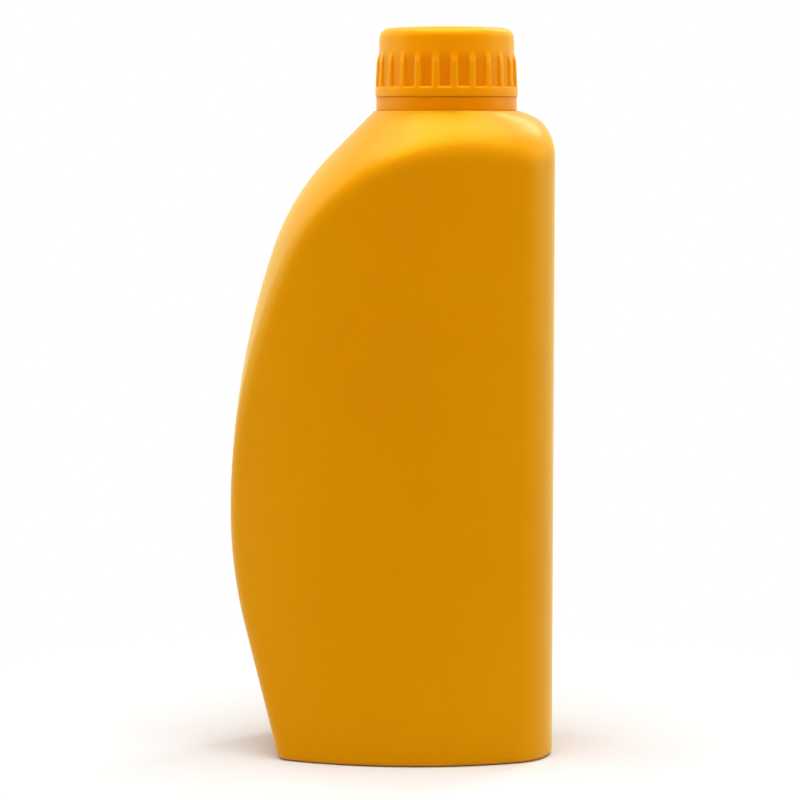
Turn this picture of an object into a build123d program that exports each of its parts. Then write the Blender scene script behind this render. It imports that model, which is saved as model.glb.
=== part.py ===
from build123d import *
import os
from math import acos, atan2, cos, hypot, pi, radians, sin, sqrt, tan

os.makedirs("parts", exist_ok=True)

# Lengths in millimetres, +Z up, origin in the middle of the base.

# Body: plan section
body_reach = 52.1
neck_offset = 17.7
panel_depth = 33.0
panel_radius = 100.0
panel_offset = 8.0
nose_radius = 18.0

# Body: left outline, from the base up to the land under the neck
land_height = 207.3
belly_height_share = 0.379
taper_radius_share = 0.724
taper_angle = radians(13.9)
belly_radius_share = 1.264
shoulder_radius_share = 0.386
shoulder_angle = radians(45.0)
land_edge = 0.55

# Body: how the rounded left and top sides meet the panels
left_softness = 3.0
right_softness = 6.0
right_bulge_share = 0.158
front_pinch_share = 0.045
bulge_drop = 5.0
round_height_share = 0.772
flat_height_share = 0.338
flat_share = 1.05

# Body: wall and base
wall = 1.1
base_radius = 2.0
push_up_band = 7.0
push_up_slope = 3.0
push_up_depth = 2.2

# Neck
neck_radius = 19.2
neck_wall = 1.9
neck_length = 22.7
lip_edge = 0.4
bead_reach = 1.6
bead_rise = 2.3
bead_length = 1.6
bead_slope = 0.6

# Tamper ring
ring_wall = 1.3
ring_gap = 0.45
ring_cover = 0.3
ring_lip_gap = 0.9
ring_lip_height = 0.9
ring_edge = 0.25
slit = 0.2
bridge_count = 12
bridge_width = 1.0
bridge_depth = 0.8

# Screw cap
thread_gap = 1.4
cap_wall = 1.3
cap_taper = 0.35
cap_top_wall = 2.8
cap_rim_radius = 3.2
cap_dome = 0.5
skirt_height = 3.05
skirt_edge = 0.3
rib_count = 24
rib_start_degrees = 5.2
rib_reach = 0.95
rib_taper = 0.5
rib_root_width = 2.9
rib_crest_width = 1.9
rib_drop = 10.1
rib_fade = 2.0

# Sealing wad in the cap
liner_thickness = 1.2
liner_gap = 0.55

# Numbers of levels and points
level_shares = [
    0, 0.06, 0.13, 0.2, 0.26, 0.32, 0.38, 0.45, 0.52, 0.59, 0.66, 0.72, 0.77, 0.82,
    0.86, 0.89, 0.915, 0.935, 0.95, 0.963, 0.973, 0.981, 0.988, 0.994, 1,
]
nose_limit = radians(75.0)
crease_limit = radians(100.0)
nose_points = 14
panel_points = 14
left_points = 10
gather = 1.5
halvings = 40

# Radii that follow from the neck outwards
bore_radius = neck_radius - neck_wall
bead_radius = neck_radius + bead_reach
ring_lip_radius = neck_radius + ring_lip_gap
ring_inner_radius = bead_radius + ring_gap
ring_radius = ring_inner_radius + ring_wall
land_radius = ring_radius + land_edge
cap_bore_radius = neck_radius + thread_gap
cap_low_radius = cap_bore_radius + cap_wall
cap_high_radius = cap_low_radius - cap_taper
skirt_radius = cap_low_radius + rib_reach
rib_top_radius = skirt_radius - rib_taper
liner_radius = cap_bore_radius - liner_gap

# Heights that follow from the land upwards
bead_height = land_height + bead_rise
ring_top = bead_height + bead_length + ring_cover
skirt_low = ring_top + slit
skirt_top = skirt_low + skirt_height
lip_height = land_height + neck_length
cap_inner_height = lip_height + liner_thickness
cap_height = cap_inner_height + cap_top_wall
rib_top_height = cap_height - rib_drop

# Left outline: the belly's arc ends where the shoulder's straight runs to the edge of the land
belly_height = land_height * belly_height_share
taper_radius = land_height * taper_radius_share
belly_radius = land_height * belly_radius_share
shoulder_radius = land_height * shoulder_radius_share
round_height = land_height * round_height_share
flat_height = land_height * flat_height_share
outline_run = body_reach + neck_offset - land_radius
outline_rise = land_height - belly_height
outline_reach = (belly_radius - outline_run) * cos(shoulder_angle) + outline_rise * sin(shoulder_angle)
belly_angle = shoulder_angle - acos((outline_reach - shoulder_radius) / (belly_radius - shoulder_radius))


def left_edge(height, inset):
    """Place along X of the left outline at a height, moved inwards by the inset."""
    taper_run = taper_radius - inset
    belly_run = belly_radius - inset
    shoulder_run = shoulder_radius - inset
    taper_x = taper_radius - body_reach
    belly_x = belly_radius - body_reach
    shoulder_x = belly_x - (belly_radius - shoulder_radius) * cos(belly_angle)
    shoulder_z = belly_height + (belly_radius - shoulder_radius) * sin(belly_angle)
    taper_top = belly_height - taper_run * sin(taper_angle)
    belly_top = belly_height + belly_run * sin(belly_angle)
    shoulder_top = shoulder_z + shoulder_run * sin(shoulder_angle)
    if height < taper_top:
        return taper_x - taper_run * cos(taper_angle) + (taper_top - height) * tan(taper_angle)
    if height < belly_height:
        return taper_x - sqrt(taper_run**2 - (height - belly_height) ** 2)
    if height < belly_top:
        return belly_x - sqrt(belly_run**2 - (height - belly_height) ** 2)
    if height < shoulder_top:
        return shoulder_x - sqrt(shoulder_run**2 - (height - shoulder_z) ** 2)
    return shoulder_x - shoulder_run * cos(shoulder_angle) + (height - shoulder_top) * tan(shoulder_angle)


def ease(share):
    """Smooth step from 0 to 1."""
    share = min(max(share, 0), 1)
    return share * share * (3 - 2 * share)


def circle_reach(direction, centre, radius):
    """Distance along a direction from the neck axis to a circle around it."""
    along = direction[0] * centre[0] + direction[1] * centre[1]
    return along + sqrt(along**2 - centre[0] ** 2 - centre[1] ** 2 + radius**2)


def plan_reach(angle, inset):
    """Distance from the neck axis to the panels, the nose and the right end."""
    direction = (cos(angle), sin(angle))
    end = body_reach - neck_offset
    panel_centre = (panel_offset - neck_offset, panel_depth - panel_radius)
    nose_x = end - nose_radius
    nose_swing = sqrt((panel_radius - nose_radius) ** 2 - (nose_x - panel_centre[0]) ** 2)
    nose_y = panel_centre[1] + nose_swing
    spread = (panel_radius - inset) / (panel_radius - nose_radius)
    meet_x = panel_centre[0] + (nose_x - panel_centre[0]) * spread
    meet_y = panel_centre[1] + nose_swing * spread
    if angle < atan2(nose_y, end - inset):
        return (end - inset) / direction[0]
    if angle < atan2(meet_y, meet_x):
        return circle_reach(direction, (nose_x, nose_y), nose_radius - inset)
    return circle_reach(direction, panel_centre, panel_radius - inset)


def round_reach(angle, height, inset):
    """Distance from the neck axis to the rounded left side and shoulder."""
    left = neck_offset - left_edge(height, inset)
    top_share = 1 - max(1 - (land_height - inset - height) / bulge_drop, 0) ** 3
    flatness = ease((round_height - height) / (round_height - flat_height)) ** 2
    right = left * (1 + right_bulge_share * top_share)
    front = left * (1 - front_pinch_share * top_share + flat_share * flatness)
    side = right if cos(angle) > 0 else left
    return 1 / hypot(cos(angle) / side, sin(angle) / front)


def section_point(angle, height, inset):
    """Point of a level section, with a soft crease where the two shapes meet."""
    softness = left_softness + (right_softness - left_softness) * (1 + cos(angle)) / 2
    plan = plan_reach(angle, inset)
    round_side = round_reach(angle, height, inset)
    overlap = max(softness - abs(plan - round_side), 0)
    reach = min(plan, round_side) - overlap**2 / (4 * softness)
    return Vector(neck_offset + reach * cos(angle), reach * sin(angle), height)


def crease_angle(height, inset):
    """Direction in which the rounded left side meets the panel, found by halving."""
    low = crease_limit
    high = pi
    for _ in range(halvings):
        middle = (low + high) / 2
        if plan_reach(middle, inset) < round_reach(middle, height, inset):
            low = middle
        else:
            high = middle
    return low


def section(height, inset):
    """Level section of the body, with its points gathered at the crease."""
    crease = crease_angle(height, inset)
    panel_span = crease - nose_limit
    left_span = pi - crease
    angles = [nose_limit * index / nose_points for index in range(nose_points)]
    angles += [crease - panel_span * (1 - index / panel_points) ** gather for index in range(panel_points)]
    angles += [crease + left_span * (index / left_points) ** gather for index in range(left_points + 1)]
    half = [section_point(angle, height, inset) for angle in angles]
    back = [Vector(point.X, -point.Y, point.Z) for point in half[-2:0:-1]]
    return half + back


def body_loft(heights, inset):
    """Smooth solid through level sections that share one spread of points."""
    levels = [section(height, inset_here) for height, inset_here in zip(heights, inset)]
    loop = levels[len(levels) // 2] + levels[len(levels) // 2][:1]
    walked = [0]
    for start, end in zip(loop, loop[1:]):
        walked.append(walked[-1] + (end - start).length)
    spread_shares = [length / walked[-1] for length in walked]
    edges = [Edge.make_spline(points, periodic=True, parameters=spread_shares) for points in levels]
    return loft([Face(Wire([edge])) for edge in edges])


def turned(outline):
    """Solid turned on the neck axis from an outline of radius and height."""
    return Pos(neck_offset, 0, 0) * revolve(Plane.XZ * make_face(outline), Axis.Z)


# Bottle: outer body, cavity and base
outer = body_loft([land_height * share for share in level_shares], [0] * len(level_shares))
outer = fillet(outer.edges().group_by(Axis.Z)[0], base_radius)
cavity_height = land_height - 2 * wall
cavity = body_loft([wall + cavity_height * share for share in level_shares], [wall] * len(level_shares))
recess = body_loft([0, push_up_depth], [push_up_band, push_up_band + push_up_slope])
recess_cover = body_loft(
    [0, push_up_depth + wall],
    [push_up_band - wall, push_up_band + push_up_slope - wall],
)

# Bottle: neck with its retaining bead
neck = turned(Polyline(
    (bore_radius, land_height - wall),
    (neck_radius, land_height - wall),
    (neck_radius, bead_height),
    (bead_radius, bead_height),
    (bead_radius, bead_height + bead_length - bead_slope),
    (neck_radius, bead_height + bead_length),
    (neck_radius, lip_height - lip_edge),
    (neck_radius - lip_edge, lip_height),
    (bore_radius + lip_edge, lip_height),
    (bore_radius, lip_height - lip_edge),
    close=True,
))
bore = Pos(neck_offset, 0, land_height) * Cylinder(bore_radius, 4 * wall)
bottle = outer - recess - (cavity - recess_cover) + neck - bore
export_step(bottle, "parts/bottle.step")

# Tamper ring: it rests on the land, with the stubs of the bridges that held it to the cap
ring_band = turned(Polyline(
    (ring_lip_radius, land_height),
    (ring_radius - ring_edge, land_height),
    (ring_radius, land_height + ring_edge),
    (ring_radius, ring_top - ring_edge),
    (ring_radius - ring_edge, ring_top),
    (ring_inner_radius, ring_top),
    (ring_inner_radius, land_height + 2 * ring_lip_height),
    (ring_lip_radius, land_height + ring_lip_height),
    close=True,
))
bridge = Box(bridge_depth, bridge_width, slit, align=(Align.MAX, Align.CENTER, Align.MIN))
bridges = Pos(neck_offset, 0, ring_top) * PolarLocations(ring_radius - ring_edge, bridge_count) * bridge
tamper_ring = ring_band + bridges
export_step(tamper_ring, "parts/tamper_ring.step")

# Screw cap: turned shell with a domed top
rim_height = cap_height - cap_dome
rim_start = (cap_high_radius, rim_height - cap_rim_radius)
rim_end = (cap_high_radius - cap_rim_radius, rim_height)
dome_radius = ((cap_high_radius - cap_rim_radius) ** 2 + cap_dome**2) / (2 * cap_dome)
side = Polyline(
    (cap_bore_radius, skirt_low),
    (skirt_radius - skirt_edge, skirt_low),
    (skirt_radius, skirt_low + skirt_edge),
    (skirt_radius, skirt_top - skirt_edge),
    (skirt_radius - skirt_edge, skirt_top),
    (cap_low_radius, skirt_top),
    rim_start,
)
rim = RadiusArc(rim_start, rim_end, -cap_rim_radius)
dome = RadiusArc(rim_end, (0, cap_height), -dome_radius)
inside = Polyline(
    (0, cap_height),
    (0, cap_inner_height),
    (cap_bore_radius, cap_inner_height),
    (cap_bore_radius, skirt_low),
)
cap_shell = turned(side + rim + dome + inside)

# Screw cap: ribs that stand on the skirt edge and fade into the smooth band
fade_height = rib_fade * (rib_top_radius - cap_bore_radius) / (rib_top_radius - cap_high_radius)
rib_cone = turned(Polyline(
    (cap_bore_radius, skirt_top - skirt_edge),
    (skirt_radius, skirt_top - skirt_edge),
    (rib_top_radius, rib_top_height),
    (cap_bore_radius, rib_top_height + fade_height),
    close=True,
))
half_root = rib_root_width / 2
half_crest = rib_crest_width / 2
rib_plan = Polyline(
    (cap_bore_radius, -half_root),
    (cap_low_radius, -half_root),
    (skirt_radius, -half_crest),
    (skirt_radius, half_crest),
    (cap_low_radius, half_root),
    (cap_bore_radius, half_root),
    close=True,
)
rib = Pos(0, 0, skirt_low) * extrude(make_face(rib_plan), cap_height - skirt_low)
rib_places = PolarLocations(0, rib_count, rib_start_degrees)
ribs = [rib_cone & (Pos(neck_offset, 0, 0) * place * rib) for place in rib_places]
screw_cap = cap_shell + ribs
export_step(screw_cap, "parts/screw_cap.step")

# Sealing wad between the neck's lip and the cap
liner_place = Pos(neck_offset, 0, lip_height + liner_thickness / 2)
cap_liner = liner_place * Cylinder(liner_radius, liner_thickness)
export_step(cap_liner, "parts/cap_liner.step")
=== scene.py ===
from math import acos, atan2, cos, hypot, pi, radians, sin, sqrt, tan

import bpy
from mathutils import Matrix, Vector


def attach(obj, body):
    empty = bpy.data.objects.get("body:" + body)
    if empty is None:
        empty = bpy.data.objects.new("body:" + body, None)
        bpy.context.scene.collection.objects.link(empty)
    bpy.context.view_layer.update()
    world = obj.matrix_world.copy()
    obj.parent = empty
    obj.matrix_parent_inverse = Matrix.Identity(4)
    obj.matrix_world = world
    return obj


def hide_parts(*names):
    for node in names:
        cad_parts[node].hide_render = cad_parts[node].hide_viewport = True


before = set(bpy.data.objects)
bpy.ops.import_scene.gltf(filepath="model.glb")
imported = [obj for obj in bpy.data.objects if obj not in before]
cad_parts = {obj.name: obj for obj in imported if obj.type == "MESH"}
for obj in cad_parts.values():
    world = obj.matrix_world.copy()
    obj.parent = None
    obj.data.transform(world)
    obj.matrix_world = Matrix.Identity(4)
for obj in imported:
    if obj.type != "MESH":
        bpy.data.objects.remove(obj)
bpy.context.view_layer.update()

MM = 0.001

# Body, in millimetres as in the CAD
BODY_REACH = 52.1
NECK_OFFSET = 17.7
PANEL_DEPTH = 33.0
PANEL_RADIUS = 100.0
PANEL_OFFSET = 8.0
NOSE_RADIUS = 18.0
LAND_HEIGHT = 207.3
BELLY_HEIGHT = LAND_HEIGHT * 0.379
TAPER_RADIUS = LAND_HEIGHT * 0.724
TAPER_ANGLE = radians(13.9)
BELLY_RADIUS = LAND_HEIGHT * 1.264
SHOULDER_RADIUS = LAND_HEIGHT * 0.386
SHOULDER_ANGLE = radians(45.0)
LAND_RADIUS = 23.1
LEFT_SOFTNESS = 3.0
RIGHT_SOFTNESS = 6.0
RIGHT_BULGE = 0.158
FRONT_PINCH = 0.045
BULGE_DROP = 5.0
ROUND_HEIGHT = LAND_HEIGHT * 0.772
FLAT_HEIGHT = LAND_HEIGHT * 0.338
FLATNESS = 1.05
WALL = 1.1
BASE_RADIUS = 2.0
BASE_CENTRE = 4.0
PUSH_UP_BAND = 7.0
PUSH_UP_SLOPE = 3.0
PUSH_UP_DEPTH = 2.2
OUTLINE_REACH = ((BELLY_RADIUS - BODY_REACH - NECK_OFFSET + LAND_RADIUS) * cos(SHOULDER_ANGLE)
                 + (LAND_HEIGHT - BELLY_HEIGHT) * sin(SHOULDER_ANGLE))
BELLY_ANGLE = SHOULDER_ANGLE - acos((OUTLINE_REACH - SHOULDER_RADIUS) / (BELLY_RADIUS - SHOULDER_RADIUS))

# Body mesh: the skin lies inside the CAD's, so that the seam stays within its box
SKIN = 0.06
SEAM_HEIGHT = 0.06
SEAM_STEPS = (0.0035, 0.007, 0.0105)
RIGHT_SEAM = 0.005
LEFT_SEAM = 0.0025
HALF_COLUMNS = 150
PUSH_UP_ROWS = 8
BASE_ROWS = 7
STANDING_INSET = 4.5
SIDE_STEP = 3.0
SIDE_TOP = 150.0
SHOULDER_ROWS = 45
LAND_ROWS = 28
LAND_ZONE = 8.0
LAND_GAP = 0.12
LAND_CROWDING = 1.6
INSIDE_ROWS = 90
INSIDE_LOW = WALL + 0.9
INSIDE_HIGH = LAND_HEIGHT - WALL - 0.6
INSIDE_CROWDING = 1.25
INSIDE_PUSH_UP_ROWS = 6

# Neck profile, radius and height: land, bead, outside, lip, bore, inside of the shoulder
NECK = [
    (22.85, 207.27), (22.4, 207.3), (20.2, 207.3), (19.5, 207.4), (19.25, 207.6), (19.2, 207.9),
    (19.2, 209.4), (19.35, 209.55), (20.55, 209.6), (20.75, 209.72), (20.8, 209.95), (20.8, 210.4),
    (20.7, 210.62), (19.5, 211.1), (19.25, 211.3), (19.2, 211.6), (19.2, 214.0), (19.2, 218.0),
    (19.2, 222.0), (19.2, 226.0), (19.2, 229.5), (19.1, 229.8), (18.85, 229.97), (18.6, 230.0),
    (17.9, 230.0), (17.55, 229.95), (17.35, 229.75), (17.3, 229.4), (17.3, 224.0), (17.3, 218.0),
    (17.3, 212.0), (17.3, 208.0), (17.4, 207.0), (17.7, 206.5), (18.3, 206.25), (19.0, 206.2),
    (21.0, 206.2),
]

# Thread
PITCH = 4.0
TURNS = 1.5
THREAD_STEPS = 120
THREAD_SINK = 0.25
RUN_OUT = 0.07
LEAST_CREST = 0.02

# Cap
RIBS = 24
RIB_START = radians(5.2)
COLUMNS = RIBS * 28
CAP_BORE = 20.6
CAP_LOW = 21.9
CAP_HIGH = 21.55
CAP_TOP = 234.0
CAP_CROWN = 0.5
CAP_INSIDE = 231.2
RIM_RADIUS = 3.2
RIM_LOW = 230.3
RIM_ROWS = 12
SKIRT = 22.85
SKIRT_LOW = 211.7
SKIRT_TOP = 214.75
RIB_HALF = 0.6
RIB_FLANK = 0.95
RIB_TOP = 22.35
RIB_INSET = 0.03
RIB_LOW = SKIRT_TOP + 0.2
RIB_ROWS = 24
RIB_FADE_LOW = 222.4
RIB_FADE_HIGH = 226.2

# Zones of the painted shade in the cap's colour: radius from flute to rib, height from ring to skirt, height
# from ribs to band
FLUTE_SHADE_RADII = (21.95, 22.3)
RING_SHADE_HEIGHTS = (209.5, 214.5)
SHADE_FADE_HEIGHTS = (222.5, 227.0)
# Share of the unshaded colour that the ring keeps; the rest is painted shade
RING_UNSHADED_SHARE = 0.3

# Tamper ring profile, radius and height, and the stubs of its bridges, which reach almost to the skirt
RING_STEPS = 288
RING = [
    (20.15, 207.4), (20.3, 207.32), (20.6, 207.3), (22.25, 207.3), (22.43, 207.35), (22.53, 207.47),
    (22.55, 207.65), (22.55, 209.4), (22.55, 211.53), (22.54, 211.58), (22.5, 211.63), (22.42, 211.65),
    (21.45, 211.65), (21.31, 211.59), (21.25, 211.45), (21.25, 209.3), (21.15, 209.0), (20.25, 208.3),
    (20.12, 208.15), (20.1, 207.95), (20.1, 207.55),
]
BRIDGES = 12
BRIDGE_INNER = 21.6
BRIDGE_OUTER = 22.2
BRIDGE_HALF = 0.45
BRIDGE_ROWS = ((211.45, 0.1), (211.56, 0.02), (211.64, 0.0), (211.69, 0.03))

# Pinch-off seam: side and drop of its profile
PINCH_START = -30.0
PINCH_LENGTH = 68.0
PINCH_HALF = 0.75
PINCH_SINK = 0.05
PINCH_ROWS = 40
PINCH_RUN_OUT = 0.12
PINCH_LEAST = 0.05
PINCH = ((-1.0, 0.0), (-0.7, 0.18), (-0.25, 0.33), (0.25, 0.33), (0.7, 0.18), (1.0, 0.0))


def left_edge(height, inset):
    """Place along X of the left outline at a height, moved inwards by the inset."""
    taper_run = TAPER_RADIUS - inset
    belly_run = BELLY_RADIUS - inset
    shoulder_run = SHOULDER_RADIUS - inset
    taper_x = TAPER_RADIUS - BODY_REACH
    belly_x = BELLY_RADIUS - BODY_REACH
    shoulder_x = belly_x - (BELLY_RADIUS - SHOULDER_RADIUS) * cos(BELLY_ANGLE)
    shoulder_z = BELLY_HEIGHT + (BELLY_RADIUS - SHOULDER_RADIUS) * sin(BELLY_ANGLE)
    taper_top = BELLY_HEIGHT - taper_run * sin(TAPER_ANGLE)
    belly_top = BELLY_HEIGHT + belly_run * sin(BELLY_ANGLE)
    shoulder_top = shoulder_z + shoulder_run * sin(SHOULDER_ANGLE)
    if height < taper_top:
        return taper_x - taper_run * cos(TAPER_ANGLE) + (taper_top - height) * tan(TAPER_ANGLE)
    if height < BELLY_HEIGHT:
        return taper_x - sqrt(taper_run**2 - (height - BELLY_HEIGHT) ** 2)
    if height < belly_top:
        return belly_x - sqrt(belly_run**2 - (height - BELLY_HEIGHT) ** 2)
    if height < shoulder_top:
        return shoulder_x - sqrt(shoulder_run**2 - (height - shoulder_z) ** 2)
    return shoulder_x - shoulder_run * cos(SHOULDER_ANGLE) + (height - shoulder_top) * tan(SHOULDER_ANGLE)


def ease(share):
    """Smooth step from 0 to 1."""
    share = min(max(share, 0.0), 1.0)
    return share * share * (3 - 2 * share)


def circle_reach(direction, centre, radius):
    """Distance along a direction from the neck axis to a circle around it."""
    along = direction[0] * centre[0] + direction[1] * centre[1]
    return along + sqrt(along**2 - centre[0] ** 2 - centre[1] ** 2 + radius**2)


def plan_reach(angle, inset):
    """Distance from the neck axis to the panels, the nose and the right end."""
    direction = (cos(angle), sin(angle))
    end = BODY_REACH - NECK_OFFSET
    panel_centre = (PANEL_OFFSET - NECK_OFFSET, PANEL_DEPTH - PANEL_RADIUS)
    nose_x = end - NOSE_RADIUS
    nose_swing = sqrt((PANEL_RADIUS - NOSE_RADIUS) ** 2 - (nose_x - panel_centre[0]) ** 2)
    nose_y = panel_centre[1] + nose_swing
    spread = (PANEL_RADIUS - inset) / (PANEL_RADIUS - NOSE_RADIUS)
    meet_x = panel_centre[0] + (nose_x - panel_centre[0]) * spread
    meet_y = panel_centre[1] + nose_swing * spread
    if angle < atan2(nose_y, end - inset):
        return (end - inset) / direction[0]
    if angle < atan2(meet_y, meet_x):
        return circle_reach(direction, (nose_x, nose_y), NOSE_RADIUS - inset)
    return circle_reach(direction, panel_centre, PANEL_RADIUS - inset)


def round_reach(angle, height, inset):
    """Distance from the neck axis to the rounded left side and shoulder."""
    left = NECK_OFFSET - left_edge(height, inset)
    top_share = 1 - max(1 - (LAND_HEIGHT - inset - height) / BULGE_DROP, 0) ** 3
    flatness = ease((ROUND_HEIGHT - height) / (ROUND_HEIGHT - FLAT_HEIGHT)) ** 2
    right = left * (1 + RIGHT_BULGE * top_share)
    front = left * (1 - FRONT_PINCH * top_share + FLATNESS * flatness)
    side = right if cos(angle) > 0 else left
    return 1 / hypot(cos(angle) / side, sin(angle) / front)


def section_reach(angle, height, inset):
    """Distance from the neck axis to the body's surface at a height."""
    angle = abs(angle)
    softness = LEFT_SOFTNESS + (RIGHT_SOFTNESS - LEFT_SOFTNESS) * (1 + cos(angle)) / 2
    plan = plan_reach(angle, inset)
    round_side = round_reach(angle, height, inset)
    overlap = max(softness - abs(plan - round_side), 0)
    return min(plan, round_side) - overlap**2 / (4 * softness)


def spread_angles(count):
    """Directions that give points an even step apart round the belly, with close ones at the seam."""
    fine = 1440
    walk = [(0.0, 0.0)]
    last = None
    for step in range(fine + 1):
        angle = pi * step / fine
        reach = section_reach(angle, BELLY_HEIGHT, 0)
        point = Vector((reach * cos(angle), reach * sin(angle)))
        if last is not None:
            walk.append((walk[-1][0] + (point - last).length, angle))
        last = point
    half = []
    index = 0
    for number in range(count + 1):
        goal = walk[-1][0] * number / count
        while index < len(walk) - 2 and walk[index + 1][0] < goal:
            index += 1
        low, high = walk[index], walk[index + 1]
        share = (goal - low[0]) / (high[0] - low[0])
        half.append(low[1] + share * (high[1] - low[1]))
    half[0], half[-1] = 0.0, pi
    right_seam = list(SEAM_STEPS)
    left_seam = [pi - step / 2 for step in SEAM_STEPS]
    half = sorted(half[:1] + right_seam + half[1:-1] + left_seam + half[-1:])
    return half + [-angle for angle in half[-2:0:-1]]


# Materials
NOISE_RANGE = (0.3, 0.7)
GLOSS_DRIFT = 0.05


def math_output(nodes, links, operation, first, second):
    """Output of a calculation with two linked values."""
    node = nodes.new("ShaderNodeMath")
    node.operation = operation
    links.new(first, node.inputs[0])
    links.new(second, node.inputs[1])
    return node.outputs["Value"]


def length_output(nodes, links, vector):
    """Output of a linked vector's length."""
    node = nodes.new("ShaderNodeVectorMath")
    node.operation = "LENGTH"
    links.new(vector, node.inputs[0])
    return node.outputs["Value"]


def range_output(nodes, links, value, start, end, kind="LINEAR"):
    """Output that runs over a linked value from one (value, result) pair to another, clamped at both."""
    node = nodes.new("ShaderNodeMapRange")
    node.interpolation_type = kind
    node.inputs["From Min"].default_value, node.inputs["To Min"].default_value = start
    node.inputs["From Max"].default_value, node.inputs["To Max"].default_value = end
    links.new(value, node.inputs["Value"])
    return node.outputs["Result"]


def noise_output(nodes, links, place, scale, detail):
    """Output of a noise at a linked place."""
    node = nodes.new("ShaderNodeTexNoise")
    node.inputs["Scale"].default_value = scale
    node.inputs["Detail"].default_value = detail
    links.new(place, node.inputs["Vector"])
    return node.outputs["Fac"]


def bump_node(nodes, links, height, strength, distance):
    """Bump from a linked height."""
    node = nodes.new("ShaderNodeBump")
    node.inputs["Strength"].default_value = strength
    node.inputs["Distance"].default_value = distance
    links.new(height, node.inputs["Height"])
    return node


def unshaded_share_output(nodes, links, place):
    """Output that is 1 on the cap's ribs and the band above them, less on skirt and ring, 0 in the flutes;
    where it is below 1 the cap takes painted shade.
    """
    across = nodes.new("ShaderNodeVectorMath")
    across.operation = "MULTIPLY_ADD"
    across.inputs[1].default_value = (1, 1, 0)
    across.inputs[2].default_value = (-NECK_OFFSET * MM, 0, 0)
    links.new(place, across.inputs[0])
    radius = length_output(nodes, links, across.outputs["Vector"])
    split = nodes.new("ShaderNodeSeparateXYZ")
    links.new(place, split.inputs["Vector"])
    height = split.outputs["Z"]
    raised = range_output(nodes, links, radius, (FLUTE_SHADE_RADII[0] * MM, 0), (FLUTE_SHADE_RADII[1] * MM, 1), "SMOOTHSTEP")
    lower = range_output(nodes, links, height, (RING_SHADE_HEIGHTS[0] * MM, RING_UNSHADED_SHARE), (RING_SHADE_HEIGHTS[1] * MM, 1))
    upper = range_output(nodes, links, height, (SHADE_FADE_HEIGHTS[0] * MM, 0), (SHADE_FADE_HEIGHTS[1] * MM, 1), "SMOOTHSTEP")
    ribs = math_output(nodes, links, "MULTIPLY", raised, lower)
    return math_output(nodes, links, "MAXIMUM", ribs, upper)


def plastic(name, colour, deep, shine, bloom, roughness, speckle, bump, flute=None):
    """Moulded plastic: faint drift of colour, fine surface texture, uneven gloss, a soft bloom at the edges.

    Where a flute colour is given, it is painted shade: the flutes between the cap's ribs take it, and the
    skirt and ring take it in part.
    """
    material = bpy.data.materials.new(name)
    material.use_nodes = True
    nodes, links = material.node_tree.nodes, material.node_tree.links
    nodes.clear()
    output = nodes.new("ShaderNodeOutputMaterial")
    shader = nodes.new("ShaderNodeBsdfPrincipled")
    shader.inputs["IOR"].default_value = 1.5
    shader.inputs["Specular Tint"].default_value = (*shine, 1)
    shader.inputs["Sheen Weight"].default_value = bloom
    shader.inputs["Sheen Roughness"].default_value = 0.6
    shader.inputs["Sheen Tint"].default_value = (0.85, 0.85, 0.0, 1)
    place = nodes.new("ShaderNodeTexCoord").outputs["Object"]

    drift = noise_output(nodes, links, place, scale=22.0, detail=3.0)
    ramp = nodes.new("ShaderNodeValToRGB")
    for element, position, tone in zip(ramp.color_ramp.elements, NOISE_RANGE, (deep, colour)):
        element.position = position
        element.color = (*tone, 1)
    links.new(drift, ramp.inputs["Fac"])
    if flute is None:
        links.new(ramp.outputs["Color"], shader.inputs["Base Color"])
    else:
        # Painted shade: the darker flute colour stands in for the shade in the flutes between the ribs, and
        # in part on skirt and ring
        shade_mix = nodes.new("ShaderNodeMixRGB")
        shade_mix.inputs["Color1"].default_value = (*flute, 1)
        links.new(unshaded_share_output(nodes, links, place), shade_mix.inputs["Fac"])
        links.new(ramp.outputs["Color"], shade_mix.inputs["Color2"])
        links.new(shade_mix.outputs["Color"], shader.inputs["Base Color"])

    grain = noise_output(nodes, links, place, scale=speckle, detail=4.0)
    gloss = range_output(nodes, links, grain, (NOISE_RANGE[0], roughness - GLOSS_DRIFT),
                         (NOISE_RANGE[1], roughness + GLOSS_DRIFT))
    links.new(gloss, shader.inputs["Roughness"])
    wave = noise_output(nodes, links, place, scale=60.0, detail=1.0)
    coarse = bump_node(nodes, links, wave, strength=0.25, distance=bump * 2.0)
    fine = bump_node(nodes, links, grain, strength=0.35, distance=bump)
    links.new(coarse.outputs["Normal"], fine.inputs["Normal"])
    links.new(fine.outputs["Normal"], shader.inputs["Normal"])
    links.new(shader.outputs["BSDF"], output.inputs["Surface"])
    return material


materials = {
    "bottle_plastic": plastic(
        "yellow_body", colour=(0.82, 0.275, 0.001), deep=(0.80, 0.259, 0.001), shine=(0.6, 1.0, 0.0),
        bloom=0.42, roughness=0.32, speckle=2600.0, bump=0.00005),
    # The cap's flute colour is painted shade, darker than the ribs
    "cap_plastic": plastic(
        "orange_cap", colour=(0.98, 0.292, 0.0008), deep=(0.96, 0.278, 0.0008), shine=(0.7, 1.0, 0.0),
        bloom=0.45, roughness=0.36, speckle=2200.0, bump=0.00005, flute=(0.877, 0.197, 0.0005)),
    "liner_foam": plastic(
        "pale_foam", colour=(0.80, 0.79, 0.74), deep=(0.74, 0.73, 0.68), shine=(1.0, 1.0, 1.0),
        bloom=0.0, roughness=0.8, speckle=1400.0, bump=0.0002),
}

for node, slot in (("bottle", "bottle_plastic"), ("tamper_ring", "cap_plastic"),
                   ("screw_cap", "cap_plastic"), ("cap_liner", "liner_foam")):
    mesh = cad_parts[node].data
    mesh.materials.clear()
    mesh.materials.append(materials[slot])


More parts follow.
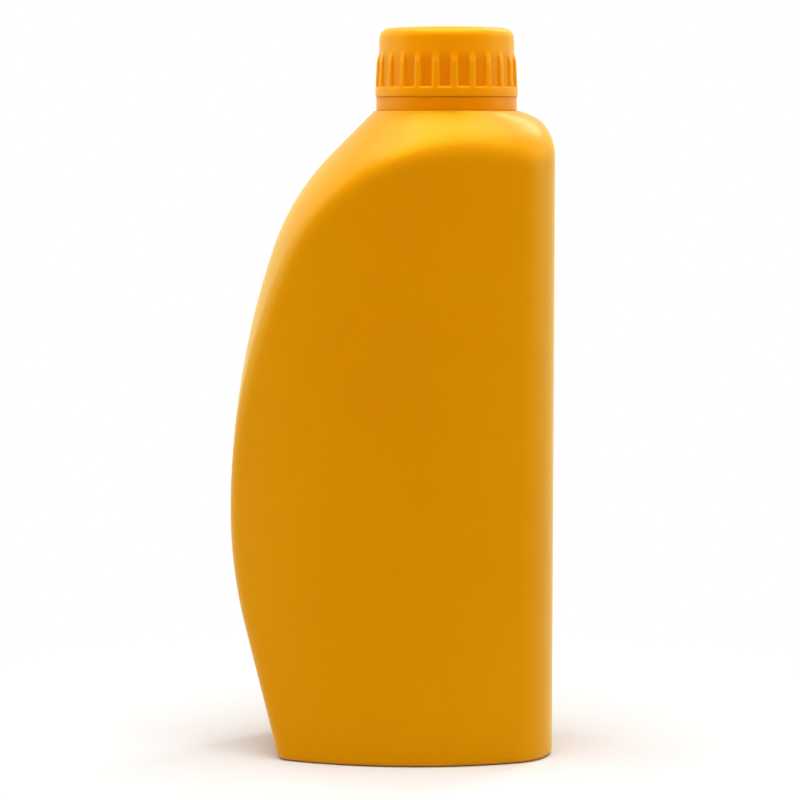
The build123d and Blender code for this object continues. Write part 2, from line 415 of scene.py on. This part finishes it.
# Meshes
def mesh_object(name, rings, caps, body, slot, sharp=radians(40)):
    """Mesh of quads between rings of points, the caps closed with a fan to a point, riding on a body."""
    count = len(rings[0])
    points = [point for ring in rings for point in ring]
    faces = []
    for row in range(len(rings) - 1):
        for step in range(count):
            following = (step + 1) % count
            faces.append((row * count + step, row * count + following,
                          (row + 1) * count + following, (row + 1) * count + step))
    for row, centre, up in caps:
        points.append(centre)
        hub = len(points) - 1
        for step in range(count):
            pair = (row * count + step, row * count + (step + 1) % count)
            faces.append((hub, *pair) if up else (hub, pair[1], pair[0]))
    mesh = bpy.data.meshes.new(name)
    mesh.from_pydata([[value * MM for value in point] for point in points], [], faces)
    mesh.polygons.foreach_set("use_smooth", [True] * len(mesh.polygons))
    mesh.set_sharp_from_angle(angle=sharp)
    mesh.materials.append(materials[slot])
    piece = bpy.data.objects.new(name, mesh)
    bpy.context.scene.collection.objects.link(piece)
    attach(piece, body)
    return piece


def around_neck(radius, angle, height):
    """Point round the neck axis."""
    return (NECK_OFFSET + radius * cos(angle), radius * sin(angle), height)


def end_caps(rings):
    """Caps in the middle of the first and the last ring."""
    first, last = [tuple(sum(point[axis] for point in ring) / len(ring) for axis in range(3))
                   for ring in (rings[0], rings[-1])]
    return [(0, first, False), (len(rings) - 1, last, True)]


# Bottle
ANGLES = spread_angles(HALF_COLUMNS)


def body_ring(height, inset, seam=True, scale=1.0):
    """Ring round the body, with the fine seam of the parting plane, scaled about the middle of the base."""
    ring = []
    for angle in ANGLES:
        reach = section_reach(angle, height, inset)
        if seam and (abs(angle) < RIGHT_SEAM or abs(angle) > pi - LEFT_SEAM):
            reach += SEAM_HEIGHT
        x = NECK_OFFSET + reach * cos(angle)
        ring.append((BASE_CENTRE + (x - BASE_CENTRE) * scale, reach * sin(angle) * scale, height))
    return ring


# From the middle of the push-up over the outside and the neck, and down the inside
bottle_rings = []
for scale in (0.3, 0.65, 0.9):
    bottle_rings.append(body_ring(PUSH_UP_DEPTH, PUSH_UP_BAND + PUSH_UP_SLOPE, False, scale))
for step in range(PUSH_UP_ROWS + 1):
    share = step / PUSH_UP_ROWS
    bottle_rings.append(body_ring(PUSH_UP_DEPTH * (1 - ease(share)),
                                  PUSH_UP_BAND + PUSH_UP_SLOPE * (1 - share), False))
bottle_rings.append(body_ring(0, STANDING_INSET, False))
for step in range(BASE_ROWS + 1):
    turn = pi / 2 * step / BASE_ROWS
    bottle_rings.append(body_ring(BASE_RADIUS * (1 - cos(turn)), SKIN + BASE_RADIUS * (1 - sin(turn))))
height = BASE_RADIUS
while height < SIDE_TOP:
    height += SIDE_STEP
    bottle_rings.append(body_ring(height, SKIN))
for step in range(1, SHOULDER_ROWS + 1):
    bottle_rings.append(body_ring(height + (LAND_HEIGHT - LAND_ZONE - height) * step / SHOULDER_ROWS, SKIN))
for step in range(1, LAND_ROWS + 1):
    drop = (LAND_ZONE - LAND_GAP) * (1 - step / LAND_ROWS) ** LAND_CROWDING
    bottle_rings.append(body_ring(LAND_HEIGHT - LAND_GAP - drop, SKIN))
for radius, level in NECK:
    bottle_rings.append([around_neck(radius, angle, level) for angle in ANGLES])
for step in range(INSIDE_ROWS + 1):
    rise = (INSIDE_HIGH - INSIDE_LOW) * (1 - step / INSIDE_ROWS) ** INSIDE_CROWDING
    bottle_rings.append(body_ring(INSIDE_LOW + rise, WALL, False))
for level, inset in ((WALL + 0.25, WALL + 0.25), (WALL, WALL + 1.0), (WALL, PUSH_UP_BAND - WALL - 0.4)):
    bottle_rings.append(body_ring(level, inset, False))
for step in range(INSIDE_PUSH_UP_ROWS + 1):
    share = step / INSIDE_PUSH_UP_ROWS
    bottle_rings.append(body_ring(WALL + PUSH_UP_DEPTH * ease(share),
                                  PUSH_UP_BAND - WALL + PUSH_UP_SLOPE * share, False))
bottle_rings.append(body_ring(WALL + PUSH_UP_DEPTH, PUSH_UP_BAND + PUSH_UP_SLOPE, False, 0.6))
bottle_caps = [(0, (BASE_CENTRE, 0.0, PUSH_UP_DEPTH), False),
               (len(bottle_rings) - 1, (BASE_CENTRE, 0.0, WALL + PUSH_UP_DEPTH), True)]
bottle_shell = mesh_object("bottle_shell", bottle_rings, bottle_caps, "bottle", "bottle_plastic",
                           sharp=radians(55))
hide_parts("bottle")


# Thread ridges
def thread(name, root, crest, root_half, crest_half, start_turn, start_height, body, slot):
    """Helical ridge with run-out ends, from its root radius to its crest radius."""
    steps = int(TURNS * THREAD_STEPS)
    sink = root - THREAD_SINK if crest > root else root + THREAD_SINK
    flank_half = (root_half + 2 * crest_half) / 3
    rings = []
    for step in range(steps + 1):
        share = step / steps
        angle = 2 * pi * (start_turn + TURNS * share)
        level = start_height + PITCH * TURNS * share
        fade = max(min(ease(share / RUN_OUT), ease((1 - share) / RUN_OUT)), LEAST_CREST)
        tip = root + (crest - root) * fade
        flank = (root + 2 * tip) / 3
        profile = [(sink, -root_half), (root, -root_half), (flank, -flank_half), (tip, -crest_half),
                   (tip, crest_half), (flank, flank_half), (root, root_half), (sink, root_half)]
        if crest < root:
            profile.reverse()
        rings.append([around_neck(radius, angle, level + rise) for radius, rise in profile])
    mesh_object(name, rings, end_caps(rings), body, slot, sharp=radians(50))


thread("neck_thread", root=19.2, crest=20.3, root_half=1.15, crest_half=0.4,
       start_turn=0.0, start_height=217.5, body="bottle", slot="bottle_plastic")
thread("cap_thread", root=20.6, crest=19.5, root_half=0.85, crest_half=0.35,
       start_turn=-0.25, start_height=214.5, body="cap", slot="cap_plastic")


# Screw cap
def rib_share(angle):
    """1 on a rib's crest, 0 in the flute, with soft flanks."""
    pitch_angle = 2 * pi / RIBS
    off = abs(((angle - RIB_START) / pitch_angle + 0.5) % 1.0 - 0.5) * pitch_angle * SKIRT
    return 1 - ease((off - RIB_HALF) / RIB_FLANK)


def cap_ring(radius, height, crest=None):
    """Ring round the cap, with the ribs raised to the crest radius."""
    ring = []
    for column in range(COLUMNS):
        angle = RIB_START + 2 * pi * column / COLUMNS
        reach = radius if crest is None else radius + (crest - radius) * rib_share(angle)
        ring.append(around_neck(reach, angle, height))
    return ring


def cap_side(height):
    """Radius of the flutes at a height."""
    share = (height - SKIRT_TOP) / (RIM_LOW - SKIRT_TOP)
    return CAP_LOW + (CAP_HIGH - CAP_LOW) * share


def rib_crest(height):
    """Radius of the ribs at a height, where they run out into the smooth band."""
    share = (height - SKIRT_TOP) / (RIB_FADE_HIGH - SKIRT_TOP)
    crest = SKIRT - RIB_INSET + (RIB_TOP - SKIRT) * share
    fade = ease((height - RIB_FADE_LOW) / (RIB_FADE_HIGH - RIB_FADE_LOW))
    return cap_side(height) + (crest - cap_side(height)) * (1 - fade)


# From the middle of the inside over the skirt, the ribs and the rim to the middle of the top
skirt_profile = [
    (5.0, CAP_INSIDE), (14.0, CAP_INSIDE), (CAP_BORE - 0.45, CAP_INSIDE), (CAP_BORE - 0.1, CAP_INSIDE - 0.1),
    (CAP_BORE, CAP_INSIDE - 0.4), (CAP_BORE, 226.0), (CAP_BORE, 220.0), (CAP_BORE, 214.0),
    (CAP_BORE, SKIRT_LOW + 0.45), (CAP_BORE + 0.1, SKIRT_LOW + 0.1), (CAP_BORE + 0.35, SKIRT_LOW),
    (SKIRT - 0.16, SKIRT_LOW), (SKIRT - 0.05, SKIRT_LOW + 0.03), (SKIRT - 0.01, SKIRT_LOW + 0.11),
    (SKIRT, SKIRT_LOW + 0.25), (SKIRT, SKIRT_TOP - 0.45),
]
cap_rings = [cap_ring(radius, height) for radius, height in skirt_profile]
for drop, rise in ((0.05, -0.2), (0.22, -0.07), (0.6, 0.0), (0.88, 0.05)):
    cap_rings.append(cap_ring(SKIRT - drop, SKIRT_TOP + rise, SKIRT - 0.02))
for step in range(RIB_ROWS + 1):
    height = RIB_LOW + (RIB_FADE_HIGH - RIB_LOW) * step / RIB_ROWS
    cap_rings.append(cap_ring(cap_side(height), height, rib_crest(height)))
for height in (227.0, 228.0, 229.2, RIM_LOW):
    cap_rings.append(cap_ring(cap_side(height), height))
dome = CAP_HIGH - RIM_RADIUS
for step in range(1, RIM_ROWS + 1):
    turn = pi / 2 * step / RIM_ROWS
    cap_rings.append(cap_ring(dome + RIM_RADIUS * cos(turn), RIM_LOW + RIM_RADIUS * sin(turn)))
for radius in (17.0, 14.5, 11.0, 7.0, 3.0):
    cap_rings.append(cap_ring(radius, CAP_TOP - CAP_CROWN * (radius / dome) ** 2))
cap_caps = [(0, (NECK_OFFSET, 0.0, CAP_INSIDE), False),
            (len(cap_rings) - 1, (NECK_OFFSET, 0.0, CAP_TOP), True)]
cap_shell = mesh_object("cap_shell", cap_rings, cap_caps, "cap", "cap_plastic", sharp=radians(60))
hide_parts("screw_cap")

# Tamper ring with the stubs of its bridges
band_rings = []
for radius, level in RING + RING[:1]:
    band_rings.append([around_neck(radius, 2 * pi * step / RING_STEPS, level) for step in range(RING_STEPS)])
band = mesh_object("tamper_band", band_rings, [], "bottle", "cap_plastic", sharp=radians(50))
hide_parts("tamper_ring")
for number in range(BRIDGES):
    middle = 2 * pi * number / BRIDGES
    stub_rings = []
    for level, grow in BRIDGE_ROWS:
        inner, outer, half = BRIDGE_INNER - grow, BRIDGE_OUTER + grow, BRIDGE_HALF + grow
        corners = ((outer, -half), (outer, half), (inner, half), (inner, -half))
        stub_rings.append([around_neck(radius, middle + side / radius, level) for radius, side in corners])
    mesh_object(f"bridge_stub_{number + 1}", stub_rings, end_caps(stub_rings), "bottle", "cap_plastic")

# Pinch-off seam across the push-up, where the mould closed on the tube of plastic
seam_rings = []
for step in range(PINCH_ROWS + 1):
    share = step / PINCH_ROWS
    size = max(min(ease(share / PINCH_RUN_OUT), ease((1 - share) / PINCH_RUN_OUT)), PINCH_LEAST)
    seam_rings.append([(PINCH_START + PINCH_LENGTH * share, side * PINCH_HALF * size,
                        PUSH_UP_DEPTH + PINCH_SINK - drop * size) for side, drop in PINCH])
seam_caps = [(0, seam_rings[0][2], False), (len(seam_rings) - 1, seam_rings[-1][2], True)]
mesh_object("pinch_seam", seam_rings, seam_caps, "bottle", "bottle_plastic", sharp=radians(50))


# Floor and light
def background_rays(nodes, links):
    """Output that is 1 where the background is seen directly, in a reflection or through glass."""
    path = nodes.new("ShaderNodeLightPath")
    rays = path.outputs["Is Camera Ray"]
    for kind in ("Is Glossy Ray", "Is Transmission Ray"):
        rays = math_output(nodes, links, "MAXIMUM", rays, path.outputs[kind])
    return rays


# The floor shows the shadow near the bottle and runs out into white around it
bpy.ops.mesh.primitive_plane_add(size=12, location=(0, 0, 0))
floor = bpy.context.object
floor.name = "floor"
floor_paint = bpy.data.materials.new("floor_paint")
floor_paint.use_nodes = True
nodes, links = floor_paint.node_tree.nodes, floor_paint.node_tree.links
nodes.clear()
floor_output = nodes.new("ShaderNodeOutputMaterial")
paint = nodes.new("ShaderNodeBsdfDiffuse")
paint.inputs["Color"].default_value = (0.8, 0.8, 0.8, 1)
glow = nodes.new("ShaderNodeEmission")
glow.inputs["Strength"].default_value = 1.0
floor_place = nodes.new("ShaderNodeTexCoord").outputs["Object"]
distance = length_output(nodes, links, floor_place)
far = range_output(nodes, links, distance, (0.07, 0), (0.22, 1), "SMOOTHSTEP")
floor_blend = nodes.new("ShaderNodeMixShader")
white = math_output(nodes, links, "MULTIPLY", background_rays(nodes, links), far)
links.new(white, floor_blend.inputs["Fac"])
links.new(paint.outputs["BSDF"], floor_blend.inputs[1])
links.new(glow.outputs["Emission"], floor_blend.inputs[2])
links.new(floor_blend.outputs["Shader"], floor_output.inputs["Surface"])
floor.data.materials.append(floor_paint)

# The world is white where it is seen, and lights the bottle softly, more from behind
world = bpy.data.worlds.new("studio")
bpy.context.scene.world = world
world.use_nodes = True
nodes, links = world.node_tree.nodes, world.node_tree.links
nodes.clear()
world_output = nodes.new("ShaderNodeOutputWorld")
backdrop = nodes.new("ShaderNodeBackground")
backdrop.inputs["Color"].default_value = (1, 1, 1, 1)
backdrop.inputs["Strength"].default_value = 1.0
ambient = nodes.new("ShaderNodeBackground")
ambient.inputs["Color"].default_value = (1, 1, 1, 1)
direction = nodes.new("ShaderNodeTexCoord")
split = nodes.new("ShaderNodeSeparateXYZ")
links.new(direction.outputs["Generated"], split.inputs["Vector"])
behind = range_output(nodes, links, split.outputs["Y"], (-0.3, 0.18), (0.7, 0.45))
links.new(behind, ambient.inputs["Strength"])
world_blend = nodes.new("ShaderNodeMixShader")
links.new(background_rays(nodes, links), world_blend.inputs["Fac"])
links.new(ambient.outputs["Background"], world_blend.inputs[1])
links.new(backdrop.outputs["Background"], world_blend.inputs[2])
links.new(world_blend.outputs["Shader"], world_output.inputs["Surface"])


def softbox(name, place, target, width, depth, watts):
    """Rectangular area light aimed at a point."""
    light = bpy.data.lights.new(name, "AREA")
    light.shape = "RECTANGLE"
    light.size = width
    light.size_y = depth
    light.energy = watts
    lamp = bpy.data.objects.new(name, light)
    bpy.context.scene.collection.objects.link(lamp)
    lamp.location = place
    lamp.rotation_mode = "QUATERNION"
    lamp.rotation_quaternion = (Vector(target) - Vector(place)).to_track_quat("-Z", "Y")


softbox("top_box", (0.02, -0.14, 0.85), target=(0.0, -0.02, 0.2), width=0.8, depth=0.6, watts=7.5)
softbox("top_left_strip", (-0.24, 0.2, 0.85), target=(0.0, 0.0, 0.19), width=0.16, depth=0.4, watts=0.75)
softbox("top_right_strip", (0.36, 0.42, 0.75), target=(0.03, 0.0, 0.19), width=0.16, depth=0.4, watts=1.2)
softbox("left_box", (-1.0, 0.0, 0.5), target=(0.0, 0.0, 0.12), width=0.6, depth=0.9, watts=2.0)
softbox("right_box", (1.0, 0.0, 0.5), target=(0.0, 0.0, 0.12), width=0.6, depth=0.9, watts=1.9)

# Camera: 0.9 m in front, level with the foot of the neck, looking slightly down
CAMERA_PLACE = (0.00275, -0.9, 0.2048)
CAMERA_DROP = 5.77
camera_data = bpy.data.cameras.new("camera")
camera_data.sensor_width = 36.0
camera_data.lens = 125.4
camera_data.clip_start = 0.05
camera_data.clip_end = 50.0
camera = bpy.data.objects.new("camera", camera_data)
camera.location = CAMERA_PLACE
camera.rotation_euler = (radians(90 - CAMERA_DROP), 0, 0)
bpy.context.scene.collection.objects.link(camera)
bpy.context.scene.camera = camera
bpy.context.scene.view_settings.view_transform = "Standard"
